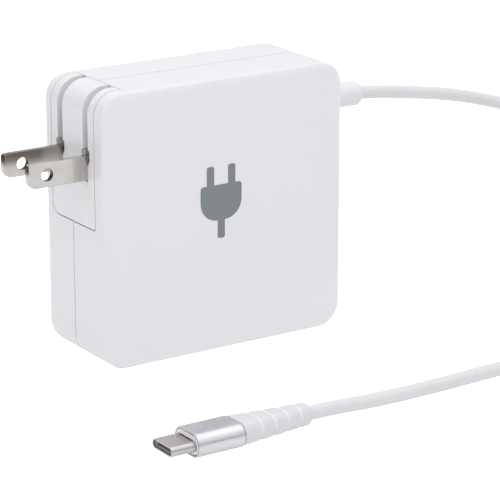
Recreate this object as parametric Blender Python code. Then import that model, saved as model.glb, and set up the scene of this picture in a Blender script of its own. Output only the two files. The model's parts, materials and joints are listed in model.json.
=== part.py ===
"""Laptop power adapter with a removable corner plug, folding blades and a USB-C cable.

The adapter stands on a narrow side. +X is the side that the cable leaves, -Y is the broad front
face, +Z is up, and the origin is the middle of the face it stands on. Sizes are in millimetres,
and the meshes are made in metres.
"""

import math

import bmesh
import bpy
from mathutils import Vector

MM = 0.001

# Adapter body
WIDTH, HEIGHT, DEPTH = 72.0, 71.9, 32.3
CORNER = 6.3  # outline radius, seen from the front
FRONT_EDGE = (5.5, 1.4)  # the front face's soft edge: in from the side, back from the face
BACK_EDGE = (4.6, 4.6)
WALL = 2.2
SEAM_Y = -0.3
LAP = 1.6  # how far the front shell's inner lip reaches past the seam
GAP = 0.3  # between pieces that meet
LEFT, RIGHT = -WIDTH / 2, WIDTH / 2
FRONT, BACK = -DEPTH / 2, DEPTH / 2

# Corner recess and plug module
MODULE_Y = (-11.25, 9.95)
MODULE_BOTTOM = 36.6
MODULE_DEPTH = 7.7
MODULE_INNER = LEFT + MODULE_DEPTH
RECESS_FLOOR = MODULE_BOTTOM - 0.35
RECESS_WALL = MODULE_INNER + GAP
LINING = 2.0
PLUG_Y = -0.8  # middle of the blade pair
COVER_X = (MODULE_INNER - 2.1, MODULE_INNER - 0.05)
COVER_BOTTOM, COVER_TOP = 47.6, 69.9

# Blades, to the two-blade household standard
BLADE_SPACING = 12.7
BLADE_WIDTH, BLADE_THICKNESS = 6.35, 1.5
BLADE_TIP_X = LEFT - 16.75
BLADE_Z = 52.0
BLADE_HOLE_X, BLADE_HOLE_R = LEFT - 11.35, 1.6
PIVOT_X, PIVOT_Z = LEFT + 1.8, BLADE_Z - 1.5
PIN_R, PIN_HOLE_R = 1.0, 1.3
SLOT_WIDTH, POCKET_WIDTH = 2.6, 4.0
POCKET_Z = (47.3, 56.6)
FACE_TOP = 52.6  # of the thin face left on both sides of each blade
SLOT_FLOOR_X = MODULE_INNER - 0.85
BLADE_YS = {"front": PLUG_Y - BLADE_SPACING / 2, "rear": PLUG_Y + BLADE_SPACING / 2}

# Inlet and lock stud
INLET_X = LEFT + 3.6
INLET_PIN_R = 0.95
INLET_PIN_SPACING = 8.6
INLET_YS = {"front": PLUG_Y - INLET_PIN_SPACING / 2, "rear": PLUG_Y + INLET_PIN_SPACING / 2}
SLEEVE_R, SLEEVE_BORE_R, SLEEVE_HOUSING_R = 1.7, 1.2, 1.95
STUD_Z = 62.0
STUD_STEM_R, STUD_HEAD_R = 1.35, 2.6
NECK_HALF, HEAD_HALF = 1.8, 2.95
HEAD_CHANNEL_X = MODULE_INNER - 1.0

# Circuit board
BOARD_Y = (9.0, 10.6)
PART_BACK = BOARD_Y[0] - GAP

# Cable
CORD_R = 1.8
RELIEF_R, RELIEF_Z, RELIEF_END = 3.1, 58.0, 52.0
COIL_CENTRE = (105.0, -45.0)
COIL_MEAN_R = 21.6
COIL_TURNS_WIDE, COIL_TURNS_HIGH = 3, 4
COIL_HALF_WIDTH = COIL_TURNS_WIDE * CORD_R
COIL_HEIGHT = COIL_TURNS_HIGH * 2 * CORD_R + 1.1
COIL_OUTER_TURN_R = COIL_MEAN_R + 2 * CORD_R
TIE_WIDTH, TIE_THICKNESS = 8.0, 1.0

# Cable connector, lying on the surface that the adapter stands on
PLUG_AXIS_Y, PLUG_AXIS_Z = -72.9, 2.95
SHELL_TIP_X, SLEEVE_FRONT_X, SLEEVE_REAR_X, BOOT_END_X = -54.5, -47.75, -34.95, -13.8
SLEEVE_HALF = (5.5, 2.95)
SLEEVE_WALL, TRIM_GAP = 0.45, 0.15
SHELL_HALF = (4.4, 1.22)


# ---------------------------------------------------------------- shapes


def fillet(corners, radii, steps=4):
    """A closed outline with each corner rounded to its radius by an arc of the given steps."""
    outline = []
    for i, corner in enumerate(corners):
        here = Vector(corner)
        before = (Vector(corners[i - 1]) - here).normalized()
        after = (Vector(corners[(i + 1) % len(corners)]) - here).normalized()
        radius = radii[i] if isinstance(radii, (list, tuple)) else radii
        if radius <= 0:
            outline.append(tuple(here))
            continue
        half = before.angle(after) / 2
        centre = here + (before + after).normalized() * radius / math.sin(half)
        start = here + before * radius / math.tan(half) - centre
        end = here + after * radius / math.tan(half) - centre
        turn = start.angle_signed(end)
        for step in range(steps + 1):
            angle = -turn * step / steps
            outline.append(
                (
                    centre.x + start.x * math.cos(angle) - start.y * math.sin(angle),
                    centre.y + start.x * math.sin(angle) + start.y * math.cos(angle),
                )
            )
    return outline


def rectangle(u0, v0, u1, v1, radius=0.0, steps=4):
    return fillet([(u0, v0), (u1, v0), (u1, v1), (u0, v1)], radius, steps)


def circle(centre, radius, sides=20):
    turns = [2 * math.pi * i / sides for i in range(sides)]
    return [(centre[0] + radius * math.cos(t), centre[1] + radius * math.sin(t)) for t in turns]


def at(axis, place, u, v):
    """The point at a place along an axis: the outline's (u, v) are the other two axes, in order."""
    return {"x": (place, u, v), "y": (u, place, v), "z": (u, v, place)}[axis]


def loft(rings, closed=False):
    """Skins rings of equally many points. It caps the ends, or joins the last ring to the first."""
    count = len(rings[0])
    points = [point for ring in rings for point in ring]
    faces = []
    for i in range(len(rings) if closed else len(rings) - 1):
        a, b = i * count, (i + 1) % len(rings) * count
        for j in range(count):
            k = (j + 1) % count
            faces.append((a + j, a + k, b + k, b + j))
    if not closed:
        faces.append(tuple(reversed(range(count))))
        faces.append(tuple(range(len(points) - count, len(points))))
    return points, faces


def prism(outline, axis, start, end):
    return loft([[at(axis, place, u, v) for u, v in outline] for place in (start, end)])


def ring_prism(outer, inner, axis, start, end):
    """An extruded outline with a hole through it. Both outlines have the same number of points."""
    places = [(outer, start), (outer, end), (inner, end), (inner, start)]
    return loft([[at(axis, place, u, v) for u, v in outline] for outline, place in places], True)


def box(low, high, radius=0.0, axis="y"):
    """A block between two corners, with its four edges along the axis rounded."""
    i = "xyz".index(axis)
    j, k = [n for n in range(3) if n != i]
    return prism(rectangle(low[j], low[k], high[j], high[k], radius), axis, low[i], high[i])


def rod(axis, centre, radius, start, end, sides=20):
    return prism(circle(centre, radius, sides), axis, start, end)


def turned(axis, centre, profile, sides=20):
    """A solid of revolution: the profile is (place along the axis, radius) from end to end."""
    rings = [[at(axis, a, u, v) for u, v in circle(centre, r, sides)] for a, r in profile]
    return loft(rings)


def turned_ring(centre, profile, sides=20, start=0.0, sweep=2 * math.pi, axis="z"):
    """A closed profile of (radius, height) turned about an axis, all the way round or as an arc."""
    whole = sweep > 2 * math.pi - 1e-6
    stations = sides if whole else sides + 1
    rings = []
    for i in range(stations):
        angle = start + sweep * i / sides
        ring = []
        for radius, height in profile:
            u, v = centre[0] + radius * math.cos(angle), centre[1] + radius * math.sin(angle)
            ring.append(at(axis, height, u, v))
        rings.append(ring)
    return loft(rings, whole)


def body_block():
    """The adapter's outer form: a rounded square whose front and back edges follow ellipses."""
    rings = []
    for side, (inward, back), steps in ((FRONT, FRONT_EDGE, 5), (BACK, BACK_EDGE, 5)):
        sign = math.copysign(1, side)
        arcs = [math.pi / 2 * i / steps for i in range(steps + 1)]
        for arc in reversed(arcs) if sign > 0 else arcs:
            inset = inward * (1 - math.sin(arc))
            outline = rectangle(
                LEFT + inset, inset, RIGHT - inset, HEIGHT - inset, CORNER - inset, 6
            )
            place = side - sign * back * (1 - math.cos(arc))
            rings.append([at("y", place, u, v) for u, v in outline])
    return loft(rings)


def cavity(grow, y_low, y_high):
    """The inside of the body: an L that leaves the corner recess and its lining standing."""
    low, high = LEFT + WALL - grow, RIGHT - WALL + grow
    floor, top = WALL - grow, HEIGHT - WALL + grow
    step_x, step_z = RECESS_WALL + LINING - grow, RECESS_FLOOR - LINING + grow
    corners = [
        (low, floor), (high, floor), (high, top), (step_x, top), (step_x, step_z), (low, step_z),
    ]
    radii = [CORNER - WALL, CORNER - WALL, CORNER - WALL, 0, 0, 0]
    return prism(fillet(corners, radii), "y", y_low, y_high)


# ---------------------------------------------------------------- scene objects


def clear_scene():
    for obj in list(bpy.data.objects):
        bpy.data.objects.remove(obj, do_unlink=True)


def material(name, colour, roughness, metallic=0.0):
    made = bpy.data.materials.new(name)
    made.use_nodes = True
    shader = made.node_tree.nodes["Principled BSDF"]
    shader.inputs["Base Color"].default_value = (*colour, 1.0)
    shader.inputs["Roughness"].default_value = roughness
    shader.inputs["Metallic"].default_value = metallic
    return made


def mesh_object(name, shape):
    points, faces = shape
    mesh = bpy.data.meshes.new(name)
    mesh.from_pydata([[c * MM for c in point] for point in points], [], faces)
    work = bmesh.new()
    work.from_mesh(mesh)
    bmesh.ops.recalc_face_normals(work, faces=work.faces)
    work.to_mesh(mesh)
    work.free()
    obj = bpy.data.objects.new(name, mesh)
    bpy.context.scene.collection.objects.link(obj)
    return obj


def piece(name, shape, surface, carrier=None):
    obj = mesh_object(name, shape)
    obj.data.materials.append(surface)
    obj.data.shade_smooth()
    obj.data.set_sharp_from_angle(angle=math.radians(35))
    if carrier:
        ride(obj, carrier)
    return obj


def ride(obj, carrier):
    """Parents a piece to an empty and leaves it where it is."""
    obj.parent = carrier
    obj.matrix_parent_inverse = carrier.matrix_world.inverted()


def boolean(obj, operation, *shapes):
    for shape in shapes:
        if isinstance(shape, bpy.types.Object):
            tool = shape
        else:
            tool = mesh_object(f"{obj.name}_tool", shape)
            tool.hide_render = True
            tool.display_type = "WIRE"
        step = obj.modifiers.new(operation.lower(), "BOOLEAN")
        step.operation = operation
        step.solver = "EXACT"
        step.object = tool


def cut(obj, *shapes):
    boolean(obj, "DIFFERENCE", *shapes)


def join(obj, *shapes):
    boolean(obj, "UNION", *shapes)


def helper(name, shape):
    obj = mesh_object(name, shape)
    obj.hide_render = True
    obj.display_type = "WIRE"
    return obj


def frame_empty(name, place):
    empty = bpy.data.objects.new(name, None)
    empty.location = [c * MM for c in place]
    bpy.context.scene.collection.objects.link(empty)
    bpy.context.view_layer.update()
    return empty


def catmull_rom(route, per_span):
    """Points of a smooth curve through the route."""
    ends = [2 * Vector(route[0]) - Vector(route[1]), 2 * Vector(route[-1]) - Vector(route[-2])]
    knots = [ends[0], *map(Vector, route), ends[1]]
    points = []
    for a, b, c, d in zip(knots, knots[1:], knots[2:], knots[3:]):
        for step in range(per_span):
            t = step / per_span
            points.append(
                0.5 * (2 * b + (c - a) * t + (2 * a - 5 * b + 4 * c - d) * t**2
                       + (3 * b - a - 3 * c + d) * t**3)
            )
    return [*points, knots[-2]]


def tube(name, route, radius, surface, per_span=2, smoothness=2):
    """A round wire or cable along a smooth route, with filled ends."""
    curve = bpy.data.curves.new(name, "CURVE")
    curve.dimensions = "3D"
    curve.bevel_depth = radius * MM
    curve.bevel_resolution = smoothness
    curve.use_fill_caps = True
    points = catmull_rom(route, per_span)
    spline = curve.splines.new("POLY")
    spline.points.add(len(points) - 1)
    for target, point in zip(spline.points, points):
        target.co = (*(point * MM), 1.0)
    curve.materials.append(surface)
    obj = bpy.data.objects.new(name, curve)
    bpy.context.scene.collection.objects.link(obj)
    return obj


# ---------------------------------------------------------------- adapter body


def make_shells(white):
    """Two shells that meet on the seam, the front one with a lip inside the back one."""
    beyond = 4.0
    inside = cavity(0.0, FRONT + WALL, BACK - WALL)
    recess = fillet(
        [
            (MODULE_Y[0] - GAP, RECESS_FLOOR), (MODULE_Y[1] + GAP, RECESS_FLOOR),
            (MODULE_Y[1] + GAP, HEIGHT + beyond), (MODULE_Y[0] - GAP, HEIGHT + beyond),
        ],
        [1.1, 3.3, 0, 0],
    )
    openings = [
        inside,
        prism(recess, "x", LEFT - beyond, RECESS_WALL),
        rod("x", (SEAM_Y, RELIEF_Z), RELIEF_R + GAP, RIGHT - WALL - 1, RIGHT + 1),
        rod("x", (PLUG_Y, STUD_Z), STUD_STEM_R + GAP, RECESS_WALL - 1, RECESS_WALL + LINING + 1),
        prism(inlet_outline(GAP), "z", RECESS_FLOOR - LINING - 1, RECESS_FLOOR + 1),
    ]
    low = (LEFT - beyond, SEAM_Y - GAP / 2, -beyond)
    high = (RIGHT + beyond, BACK + beyond, HEIGHT + beyond)
    behind_seam = helper("behind_seam", box(low, high))
    cut(behind_seam, cavity(0.9, FRONT, SEAM_Y + LAP))
    front = piece("front_shell", body_block(), white)
    cut(front, *openings, behind_seam)

    low = (LEFT - beyond, FRONT - beyond, -beyond)
    high = (RIGHT + beyond, SEAM_Y + GAP / 2, HEIGHT + beyond)
    back = piece("back_shell", body_block(), white)
    cut(back, *openings, box(low, high), cavity(0.9 + GAP, FRONT, SEAM_Y + LAP + GAP))


def inlet_outline(grow):
    half_x, half_y = 1.6 + grow, 6.2 + grow
    return rectangle(
        INLET_X - half_x, PLUG_Y - half_y, INLET_X + half_x, PLUG_Y + half_y, half_x - 0.05
    )


def make_inlet(plastic, metal):
    flange = box(
        (LEFT + WALL + GAP, PLUG_Y - 8.5, 31.9), (INLET_X + 3.2, PLUG_Y + 8.5, 33.9), 1.0, "z"
    )
    block = piece("inlet_block", flange, plastic)
    join(block, prism(inlet_outline(0.0), "z", 33.5, RECESS_FLOOR - 0.1))
    for place, y in INLET_YS.items():
        cut(block, rod("z", (INLET_X, y), INLET_PIN_R + 0.2, 30.0, 40.0, 16))
        profile = [(30.0, INLET_PIN_R), (44.4, INLET_PIN_R), (44.9, 0.7), (45.1, 0.3)]
        piece(f"inlet_pin_{place}", turned("z", (INLET_X, y), profile, 16), metal)


def make_lock_stud(metal):
    inner = RECESS_WALL + LINING
    head = HEAD_CHANNEL_X - GAP
    profile = [
        (head - 0.9, STUD_HEAD_R - 0.3), (head - 0.6, STUD_HEAD_R), (head, STUD_HEAD_R),
        (head, STUD_STEM_R), (inner + GAP, STUD_STEM_R), (inner + GAP, 3.2), (inner + 1.5, 3.2),
    ]
    piece("lock_stud", turned("x", (PLUG_Y, STUD_Z), profile), metal)


def make_strain_relief(white):
    inner = RIGHT - WALL - GAP
    profile = [
        (inner - 2.0, 4.4), (inner, 4.4), (inner, RELIEF_R), (RELIEF_END - 1.2, RELIEF_R),
        (RELIEF_END, RELIEF_R - 0.9),
    ]
    piece("cord_strain_relief", turned("x", (SEAM_Y, RELIEF_Z), profile, 24), white)


# ---------------------------------------------------------------- electronics


def make_board(green, sheet, aluminium):
    corners = [(-32.5, 4.0), (32.5, 4.0), (32.5, 68.0), (-24.5, 68.0), (-24.5, 32.5), (-32.5, 32.5)]
    outline = fillet(corners, [2, 2, 2, 1, 0, 1], 2)
    piece("main_board", prism(outline, "y", *BOARD_Y), green)
    piece("insulating_sheet", prism(outline, "y", 11.2, 11.5), sheet)
    piece("rear_heat_spreader", box((-22, 11.9, 6), (30, 12.7, 66), 2), aluminium)
    piece("front_heat_spreader", box((-22, -13.4, 6), (30, -12.6, 66), 2), aluminium)


def make_line_filter(black, copper, yellow):
    piece("fuse", box((-28, 2, 22.5), (-23, PART_BACK, 31), 0.6), black)
    centre, core_y = (-22.5, 12.6), (0.8, 7.6)
    core = [(3.6, core_y[0]), (6.6, core_y[0]), (6.6, core_y[1]), (3.6, core_y[1])]
    piece("line_choke_core", turned_ring(centre, core, 20, axis="y"), black)
    outer = [(2.4, -0.4), (7.8, -0.4), (7.8, PART_BACK), (2.4, PART_BACK)]
    inner = [(3.3, 0.5), (6.9, 0.5), (6.9, 7.9), (3.3, 7.9)]
    start, sweep = math.radians(-60), math.radians(300)
    winding = piece(
        "line_choke_winding", turned_ring(centre, outer, 18, start, sweep, "y"), copper
    )
    cut(winding, turned_ring(centre, inner, 20, axis="y"))
    piece("film_capacitor", box((-21, -4.5, 22.5), (-14.5, PART_BACK, 40.5), 0.5), yellow)


def make_power_stage(black, silver, aluminium):
    piece("bridge_rectifier", box((-12, 4.5, 33.5), (-2, PART_BACK, 42.5), 0.4), black)
    for number, x in enumerate((-6.0, 7.0), start=1):
        profile = [(5.0, 5.4), (5.4, 6.0), (8.0, 6.0), (8.4, 5.7), (8.8, 6.0), (31.0, 6.0)]
        piece(f"bulk_capacitor_{number}", turned("z", (x, 2.4), profile, 20), silver)
    piece("switching_transistor", box((18.5, 3.6, 5.5), (29, PART_BACK, 20.5), 0.3), black)
    piece("transistor_heat_sink", box((17.5, 1.6, 5.0), (30.5, 3.3, 23.5), 0.5), aluminium)


def make_transformer(ferrite, plastic, tape):
    left, right, gap_x = -9.0, 17.0, 4.0
    for name, back_x, sign in (("left", left, 1), ("right", right, -1)):
        spine, tip = back_x + sign * 4.0, gap_x - sign * GAP / 2
        legs = [(44.0, 48.0), (52.5, 58.5), (63.0, 67.0)]
        outline = [(back_x, legs[0][0]), (tip, legs[0][0]), (tip, legs[0][1]), (spine, legs[0][1])]
        outline += [(spine, legs[1][0]), (tip, legs[1][0]), (tip, legs[1][1]), (spine, legs[1][1])]
        outline += [(spine, legs[2][0]), (tip, legs[2][0]), (tip, legs[2][1]), (back_x, legs[2][1])]
        piece(f"transformer_core_{name}", prism(outline, "y", -7.0, 4.0), ferrite)
    bore = rectangle(-7.3, 52.2, 4.3, 58.8)
    tube_outside = rectangle(-8.3, 51.2, 5.3, 59.8)
    flange = rectangle(-11.0, 48.3, 8.0, 62.7)
    bobbin = piece(
        "transformer_bobbin", ring_prism(flange, bore, "x", left + 4.3, left + 5.3), plastic
    )
    join(
        bobbin,
        ring_prism(tube_outside, bore, "x", left + 5.0, right - 5.0),
        ring_prism(flange, bore, "x", right - 5.3, right - 4.3),
    )
    wound = rectangle(-10.4, 49.2, 7.4, 61.8, 1.5)
    core_side = rectangle(-8.6, 50.9, 5.6, 60.1, 0.3)
    piece(
        "transformer_winding", ring_prism(wound, core_side, "x", left + 5.6, right - 5.6), tape
    )


def make_output_stage(black, blue, copper, silver, green):
    piece("safety_capacitor", rod("y", (20.5, 30.0), 4.0, 4.5, PART_BACK), blue)
    piece("optocoupler", box((17, 5.2, 36.5), (22.5, PART_BACK, 42), 0.2), black)
    piece("output_rectifier", box((26.5, 6.4, 26.5), (31.5, PART_BACK, 32.5), 0.2), black)
    profile = [(1.8, 3.0), (4.6, 3.0), (4.6, PART_BACK), (1.8, PART_BACK)]
    piece("output_choke", turned_ring((28.0, 40.0), profile, 18, axis="y"), copper)
    for number, z in enumerate((51.0, 62.0), start=1):
        profile = [(-4.6, 3.6), (-4.2, 4.0), (6.6, 4.0), (7.0, 3.7), (7.4, 4.0), (PART_BACK, 4.0)]
        piece(f"output_capacitor_{number}", turned("y", (22.5, z), profile, 18), silver)
    piece("control_board", box((14.2, -8.0, 6.0), (15.2, PART_BACK, 30.0)), green)
    piece("controller_chip", box((15.5, -4.0, 13.0), (16.5, 2.0, 19.0), 0.2, "x"), black)


def make_wires(brown, blue, red, black):
    bottom = 29.6
    front, rear = INLET_YS["front"], INLET_YS["rear"]
    end = PART_BACK - 0.2
    routes = {
        "inlet_wire_front": (
            [
                (INLET_X, front, bottom), (INLET_X, front, 27.4), (-32.2, -3.4, 24.9),
                (-31.8, 1.0, 23.4), (-31.5, 5.0, 23.0), (-31.5, end, 23.0),
            ],
            brown,
        ),
        "inlet_wire_rear": (
            [
                (INLET_X, rear, bottom), (INLET_X, rear, 28.4), (-32.2, 4.6, 27.2),
                (-31.9, 6.4, 26.6), (-31.8, end, 26.5),
            ],
            blue,
        ),
        "output_wire_positive": (
            [
                (30.9, 0.9, 57.2), (29.9, 1.2, 56.4), (28.9, 3.4, 54.6), (28.8, 6.0, 53.4),
                (28.8, end, 53.0),
            ],
            red,
        ),
        "output_wire_negative": (
            [
                (30.9, -1.5, 58.8), (29.9, -1.3, 59.8), (28.9, 1.4, 61.8), (28.8, 5.0, 63.0),
                (28.8, end, 63.2),
            ],
            black,
        ),
    }
    for name, (route, surface) in routes.items():
        tube(name, route, 0.8, surface, 2, 1)


# ---------------------------------------------------------------- plug module


def module_outline():
    """Seen from the front: a slab whose top left corner follows the body's."""
    corners = [
        (LEFT, MODULE_BOTTOM), (MODULE_INNER, MODULE_BOTTOM), (MODULE_INNER, HEIGHT),
        (LEFT, HEIGHT),
    ]
    return fillet(corners, [0, 0, 0, CORNER], 8)


def make_plug_housing(white, carrier):
    housing = piece("plug_housing", prism(module_outline(), "y", *MODULE_Y), white, carrier)
    corners = [
        (MODULE_Y[0], MODULE_BOTTOM), (MODULE_Y[1], MODULE_BOTTOM),
        (MODULE_Y[1], HEIGHT + 1), (MODULE_Y[0], HEIGHT + 1),
    ]
    side_view = prism(fillet(corners, [0.8, 3.0, 0, 0]), "x", LEFT - 1, MODULE_INNER + 1)
    boolean(housing, "INTERSECT", side_view)
    cover_room = (COVER_X[0] - GAP, MODULE_Y[0] + 1.5, COVER_BOTTOM - GAP)
    far = MODULE_INNER + 1
    cuts = [
        box(cover_room, (far, MODULE_Y[1] - 1.5, COVER_TOP + GAP)),
        # the room behind the face in which the blade link swings
        box((LEFT + 0.9, PLUG_Y - 8.35, 47.0), (COVER_X[0], PLUG_Y + 8.35, 52.2)),
        rod("y", (PIVOT_X, PIVOT_Z), PIN_HOLE_R, MODULE_Y[0] - 1, MODULE_Y[1] - 0.8, 16),
        box(
            (COVER_X[0] - GAP, PLUG_Y - HEAD_HALF, MODULE_BOTTOM - 1),
            (HEAD_CHANNEL_X, PLUG_Y + HEAD_HALF, COVER_BOTTOM),
        ),
        box(
            (HEAD_CHANNEL_X - 0.5, PLUG_Y - NECK_HALF, MODULE_BOTTOM - 1),
            (far, PLUG_Y + NECK_HALF, COVER_BOTTOM),
        ),
    ]
    for y in BLADE_YS.values():
        # the pocket is open above the thin face, which is set back a little round the blade
        bottom, top = POCKET_Z
        outside, half = LEFT - 1, POCKET_WIDTH / 2
        cuts.append(box((LEFT + 0.9, y - half, bottom), (COVER_X[0], y + half, top)))
        cuts.append(box((outside, y - half, bottom), (LEFT + 0.3, y + half, top)))
        cuts.append(box((outside, y - half, FACE_TOP), (LEFT + 1.5, y + half, top)))
        passage = BLADE_THICKNESS / 2 + GAP
        cuts.append(box((outside, y - passage, bottom + 0.3), (LEFT + 1.5, y + passage, top)))
        half = SLOT_WIDTH / 2
        cuts.append(box((outside, y - half, top - 0.4), (far, y + half, HEIGHT + 1)))
    for place, y in INLET_YS.items():
        cuts.append(rod("z", (INLET_X, y), SLEEVE_HOUSING_R, MODULE_BOTTOM - 1, 47.1, 16))
        outside = BLADE_YS[place] - math.copysign(POCKET_WIDTH / 2, -y)
        low_y, high_y = sorted((y + math.copysign(1.1, -y), outside))
        cuts.append(box((LEFT + 1.2, low_y, 46.1), (LEFT + 5.1, high_y, 47.5)))
    cut(housing, *cuts)


def make_plug_cover(white, carrier):
    low = (COVER_X[0], MODULE_Y[0] + 1.5 + GAP, COVER_BOTTOM)
    high = (COVER_X[1], MODULE_Y[1] - 1.5 - GAP, COVER_TOP)
    cover = piece("plug_cover", box(low, high), white, carrier)
    near, far = COVER_X[0] - 1, MODULE_INNER + 1
    head_top, neck_top = STUD_Z + HEAD_HALF + GAP, STUD_Z + NECK_HALF + GAP
    cut(
        cover,
        box((near, PLUG_Y - HEAD_HALF, 40), (HEAD_CHANNEL_X, PLUG_Y + HEAD_HALF, head_top)),
        box((near, PLUG_Y - NECK_HALF, 40), (far, PLUG_Y + NECK_HALF, neck_top)),
    )
    half = SLOT_WIDTH / 2
    for y in BLADE_YS.values():
        cut(cover, box((near, y - half, 40), (SLOT_FLOOR_X, y + half, HEIGHT)))


def make_contacts(bronze, carrier):
    """For each pole: the sleeve for the inlet pin, the spring beside the blade, and a detent."""
    for place, y in INLET_YS.items():
        ring = [(SLEEVE_BORE_R, 37.3), (SLEEVE_R, 37.3), (SLEEVE_R, 46.1), (SLEEVE_BORE_R, 46.1)]
        sleeve = turned_ring((INLET_X, y), ring, 16)
        piece(f"contact_sleeve_{place}", sleeve, bronze, carrier)
        side = -1 if place == "front" else 1
        blade_face = BLADE_YS[place] + side * BLADE_THICKNESS / 2
        near, far = blade_face + side * 0.35, blade_face + side * 0.95
        foot = y - side * 0.8
        outline = [
            (near, 56.3), (far, 56.3), (far, 46.4), (foot, 46.4), (foot, 46.9), (near, 46.9),
        ]
        name = f"contact_spring_{place}"
        spring = piece(name, prism(outline, "x", LEFT + 1.5, LEFT + 4.7), bronze, carrier)
        cut(spring, rod("y", (PIVOT_X, PIVOT_Z), PIN_HOLE_R, -20, 20, 16))
        blade_face = BLADE_YS[place] - side * BLADE_THICKNESS / 2
        low_y, high_y = sorted((blade_face - side * 0.35, blade_face - side * 0.95))
        plate = box((LEFT + 0.5, low_y, FACE_TOP + GAP), (LEFT + 4.7, high_y, 56.3), 0.4, "y")
        piece(f"detent_plate_{place}", plate, bronze, carrier)


def make_pivot_pin(steel, carrier):
    shape = rod("y", (PIVOT_X, PIVOT_Z), PIN_R, MODULE_Y[0] + 0.3, MODULE_Y[1] - 1.2, 16)
    piece("pivot_pin", shape, steel, carrier)


def make_blades(nickel, plastic, carrier):
    low, high = BLADE_Z - BLADE_WIDTH / 2, BLADE_Z + BLADE_WIDTH / 2
    root = PIVOT_X + 2.0
    outline = fillet(
        [(BLADE_TIP_X, low), (root, low), (root, high), (BLADE_TIP_X, high)],
        [1.5, 0.6, 1.2, 1.5],
        3,
    )
    for place, y in BLADE_YS.items():
        half = BLADE_THICKNESS / 2
        blade = piece(f"blade_{place}", prism(outline, "y", y - half, y + half), nickel, carrier)
        cut(
            blade,
            rod("y", (BLADE_HOLE_X, BLADE_Z), BLADE_HOLE_R, y - 2, y + 2, 24),
            rod("y", (PIVOT_X, PIVOT_Z), PIN_HOLE_R, y - 2, y + 2, 16),
        )
    inner = BLADE_SPACING / 2 - BLADE_THICKNESS / 2 - GAP
    link = box(
        (PIVOT_X + 1.5, PLUG_Y - inner, PIVOT_Z - 0.5), (PIVOT_X + 2.9, PLUG_Y + inner, PIVOT_Z + 0.9)
    )
    piece("blade_link", link, plastic, carrier)


# ---------------------------------------------------------------- cable and its connector


def make_cable(white, tie_surface):
    lead = [
        (RELIEF_END + GAP, SEAM_Y, 57.9), (58.5, SEAM_Y, 57.3), (65.0, SEAM_Y, 56.4),
        (72.5, SEAM_Y, 55.2), (80.5, SEAM_Y, 53.8), (88.5, -0.4, 52.0), (96.5, -0.9, 49.8),
        (104.3, -1.8, 47.3), (111.8, -4.2, 43.8), (118.6, -8.2, 38.6), (124.2, -13.4, 32.2),
        (128.0, -19.6, 25.0), (129.8, -25.6, 19.0), (130.2, -29.8, 15.9),
    ]
    tube("cable_lead", lead, CORD_R, white)
    low = CORD_R + 0.05
    tail = [
        (90.4, -70.2, low), (84.0, -70.3, low), (74.0, -70.4, low), (64.0, -70.6, low),
        (54.0, -70.9, low), (44.0, -71.3, low), (34.0, -71.8, low), (24.0, -72.2, low),
        (14.0, -72.5, 1.95), (4.0, -72.7, 2.2), (-5.0, -72.8, 2.7),
        (BOOT_END_X + GAP, PLUG_AXIS_Y, 2.9),
    ]
    tube("cable_tail", tail, CORD_R, white)

    near, far = COIL_MEAN_R - COIL_HALF_WIDTH, COIL_MEAN_R + COIL_HALF_WIDTH
    profile = rectangle(near, 0.0, far, COIL_HEIGHT, 1.6, 2)
    coil = piece("cable_coil", turned_ring(COIL_CENTRE, profile, 40), white)
    # The tie goes round the far side of the coil, through a shallow notch under it.
    half = TIE_WIDTH / 2
    y_near, y_far = COIL_CENTRE[1] + math.hypot(near, half) - 1.2, COIL_CENTRE[1] + far
    low = (COIL_CENTRE[0] - half - GAP, y_near - 4, -1)
    cut(coil, box(low, (COIL_CENTRE[0] + half + GAP, y_far + 4, TIE_THICKNESS + GAP)))
    hole = rectangle(
        y_near - GAP, TIE_THICKNESS, y_far + GAP, COIL_HEIGHT + GAP, [0.4, 0.4, 1.5, 1.5]
    )
    grow = TIE_THICKNESS
    outside = rectangle(
        y_near - GAP - grow, 0.0, y_far + GAP + grow, COIL_HEIGHT + GAP + grow, 2.5
    )
    strap = ring_prism(outside, hole, "x", COIL_CENTRE[0] - half, COIL_CENTRE[0] + half)
    piece("cable_tie", strap, tie_surface)


def oval(half_y, half_z, steps=5):
    """A slot-shaped outline across the connector's axis."""
    radius = min(half_z, half_y) * 0.96
    return rectangle(
        PLUG_AXIS_Y - half_y, PLUG_AXIS_Z - half_z, PLUG_AXIS_Y + half_y, PLUG_AXIS_Z + half_z,
        radius, steps,
    )


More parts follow.
